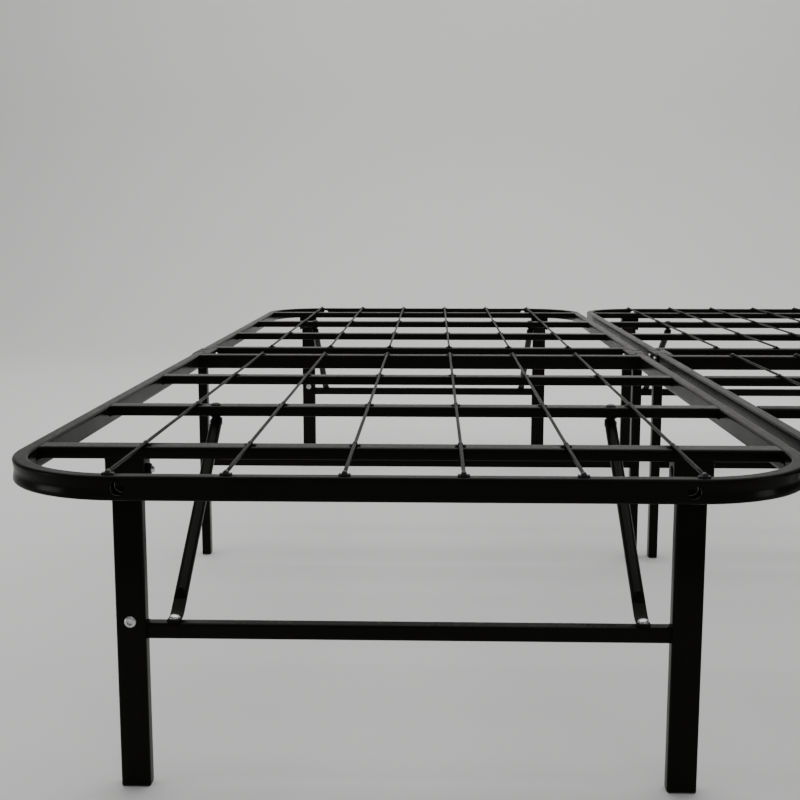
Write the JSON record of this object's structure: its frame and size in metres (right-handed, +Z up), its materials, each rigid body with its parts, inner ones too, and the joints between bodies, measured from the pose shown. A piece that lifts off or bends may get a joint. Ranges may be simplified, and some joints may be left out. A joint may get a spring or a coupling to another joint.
{
  "type": "folding platform bed frame",
  "caption": "Black metal platform bed frame of side-by-side units that fold at the middle, with wire decks, folding legs and diagonal braces; holds a mattress without a box spring.",
  "frame": {"origin": "on the floor, under the middle of the bed", "axes": "+Z up, +X to the right seen from the foot end, +Y towards the head end, -Y towards the foot end"},
  "size_m": [1.5286, 2.032, 0.3595],
  "materials": {
    "powder_coat": "semi-gloss black powder coat",
    "deck_wire": "semi-gloss black coated wire",
    "zinc_bolt": "bright zinc-plated bolt heads",
    "black_plastic": "matte moulded black plastic"
  },
  "bodies": {
    "middle": {"left_mid_leg_frame": "powder_coat", "right_mid_leg_frame": "powder_coat"},
    "left_foot_deck": {"left_foot_perimeter_rail": "powder_coat", "left_foot_mid_rail": "powder_coat", "left_foot_crossbar_1": "powder_coat", "left_foot_crossbar_2": "powder_coat", "left_foot_crossbar_3": "powder_coat", "left_foot_wire_1": "deck_wire", "left_foot_wire_2": "deck_wire", "left_foot_wire_3": "deck_wire", "left_foot_wire_4": "deck_wire", "left_foot_wire_5": "deck_wire", "left_foot_wire_6": "deck_wire"},
    "left_foot_legs": {"left_foot_leg_frame": "powder_coat"},
    "left_foot_brace_outer": {"left_foot_brace_outer": "powder_coat"},
    "left_foot_brace_inner": {"left_foot_brace_inner": "powder_coat"},
    "left_head_deck": {"left_head_perimeter_rail": "powder_coat", "left_head_mid_rail": "powder_coat", "left_head_crossbar_1": "powder_coat", "left_head_crossbar_2": "powder_coat", "left_head_crossbar_3": "powder_coat", "left_head_wire_1": "deck_wire", "left_head_wire_2": "deck_wire", "left_head_wire_3": "deck_wire", "left_head_wire_4": "deck_wire", "left_head_wire_5": "deck_wire", "left_head_wire_6": "deck_wire"},
    "left_head_legs": {"left_head_leg_frame": "powder_coat"},
    "left_head_brace_outer": {"left_head_brace_outer": "powder_coat"},
    "left_head_brace_inner": {"left_head_brace_inner": "powder_coat"},
    "right_foot_deck": {"right_foot_perimeter_rail": "powder_coat", "right_foot_mid_rail": "powder_coat", "right_foot_crossbar_1": "powder_coat", "right_foot_crossbar_2": "powder_coat", "right_foot_crossbar_3": "powder_coat", "right_foot_wire_1": "deck_wire", "right_foot_wire_2": "deck_wire", "right_foot_wire_3": "deck_wire", "right_foot_wire_4": "deck_wire", "right_foot_wire_5": "deck_wire", "right_foot_wire_6": "deck_wire"},
    "right_foot_legs": {"right_foot_leg_frame": "powder_coat"},
    "right_foot_brace_outer": {"right_foot_brace_outer": "powder_coat"},
    "right_foot_brace_inner": {"right_foot_brace_inner": "powder_coat"},
    "right_head_deck": {"right_head_perimeter_rail": "powder_coat", "right_head_mid_rail": "powder_coat", "right_head_crossbar_1": "powder_coat", "right_head_crossbar_2": "powder_coat", "right_head_crossbar_3": "powder_coat", "right_head_wire_1": "deck_wire", "right_head_wire_2": "deck_wire", "right_head_wire_3": "deck_wire", "right_head_wire_4": "deck_wire", "right_head_wire_5": "deck_wire", "right_head_wire_6": "deck_wire"},
    "right_head_legs": {"right_head_leg_frame": "powder_coat"},
    "right_head_brace_outer": {"right_head_brace_outer": "powder_coat"},
    "right_head_brace_inner": {"right_head_brace_inner": "powder_coat"}
  },
  "joints": [
    {"name": "left_foot_fold", "type": "hinge", "parent": "middle", "child": "left_foot_deck", "pos_m": [-0.386, -0.024, 0.3446], "axis": [1, 0, 0], "range_deg": [0, 86]},
    {"name": "left_foot_leg_fold", "type": "hinge", "parent": "left_foot_deck", "child": "left_foot_legs", "pos_m": [-0.386, -0.864, 0.3306], "axis": [1, 0, 0], "range_deg": [0, 84]},
    {"name": "left_foot_brace_outer_swing", "type": "hinge", "parent": "left_foot_deck", "child": "left_foot_brace_outer", "pos_m": [-0.622, -0.607, 0.3346], "axis": [-1, 0, 0], "range_deg": [0, 32.7]},
    {"name": "left_foot_brace_inner_swing", "type": "hinge", "parent": "left_foot_deck", "child": "left_foot_brace_inner", "pos_m": [-0.15, -0.607, 0.3346], "axis": [-1, 0, 0], "range_deg": [0, 32.7]},
    {"name": "left_head_fold", "type": "hinge", "parent": "middle", "child": "left_head_deck", "pos_m": [-0.386, 0.024, 0.3446], "axis": [-1, 0, 0], "range_deg": [0, 86]},
    {"name": "left_head_leg_fold", "type": "hinge", "parent": "left_head_deck", "child": "left_head_legs", "pos_m": [-0.386, 0.864, 0.3306], "axis": [-1, 0, 0], "range_deg": [0, 84]},
    {"name": "left_head_brace_outer_swing", "type": "hinge", "parent": "left_head_deck", "child": "left_head_brace_outer", "pos_m": [-0.622, 0.607, 0.3346], "axis": [1, 0, 0], "range_deg": [0, 32.7]},
    {"name": "left_head_brace_inner_swing", "type": "hinge", "parent": "left_head_deck", "child": "left_head_brace_inner", "pos_m": [-0.15, 0.607, 0.3346], "axis": [1, 0, 0], "range_deg": [0, 32.7]},
    {"name": "right_foot_fold", "type": "hinge", "parent": "middle", "child": "right_foot_deck", "pos_m": [0.386, -0.024, 0.3446], "axis": [1, 0, 0], "range_deg": [0, 86]},
    {"name": "right_foot_leg_fold", "type": "hinge", "parent": "right_foot_deck", "child": "right_foot_legs", "pos_m": [0.386, -0.864, 0.3306], "axis": [1, 0, 0], "range_deg": [0, 84]},
    {"name": "right_foot_brace_outer_swing", "type": "hinge", "parent": "right_foot_deck", "child": "right_foot_brace_outer", "pos_m": [0.622, -0.607, 0.3346], "axis": [-1, 0, 0], "range_deg": [0, 32.7]},
    {"name": "right_foot_brace_inner_swing", "type": "hinge", "parent": "right_foot_deck", "child": "right_foot_brace_inner", "pos_m": [0.15, -0.607, 0.3346], "axis": [-1, 0, 0], "range_deg": [0, 32.7]},
    {"name": "right_head_fold", "type": "hinge", "parent": "middle", "child": "right_head_deck", "pos_m": [0.386, 0.024, 0.3446], "axis": [-1, 0, 0], "range_deg": [0, 86]},
    {"name": "right_head_leg_fold", "type": "hinge", "parent": "right_head_deck", "child": "right_head_legs", "pos_m": [0.386, 0.864, 0.3306], "axis": [-1, 0, 0], "range_deg": [0, 84]},
    {"name": "right_head_brace_outer_swing", "type": "hinge", "parent": "right_head_deck", "child": "right_head_brace_outer", "pos_m": [0.622, 0.607, 0.3346], "axis": [1, 0, 0], "range_deg": [0, 32.7]},
    {"name": "right_head_brace_inner_swing", "type": "hinge", "parent": "right_head_deck", "child": "right_head_brace_inner", "pos_m": [0.15, 0.607, 0.3346], "axis": [1, 0, 0], "range_deg": [0, 32.7]}
  ],
  "couplings": [
    {"joint": "left_foot_brace_outer_swing", "follows": "left_foot_leg_fold", "ratio": 0.388},
    {"joint": "left_foot_brace_inner_swing", "follows": "left_foot_leg_fold", "ratio": 0.388},
    {"joint": "left_head_brace_outer_swing", "follows": "left_head_leg_fold", "ratio": 0.388},
    {"joint": "left_head_brace_inner_swing", "follows": "left_head_leg_fold", "ratio": 0.388},
    {"joint": "right_foot_brace_outer_swing", "follows": "right_foot_leg_fold", "ratio": 0.388},
    {"joint": "right_foot_brace_inner_swing", "follows": "right_foot_leg_fold", "ratio": 0.388},
    {"joint": "right_head_brace_outer_swing", "follows": "right_head_leg_fold", "ratio": 0.388},
    {"joint": "right_head_brace_inner_swing", "follows": "right_head_leg_fold", "ratio": 0.388}
  ]
}
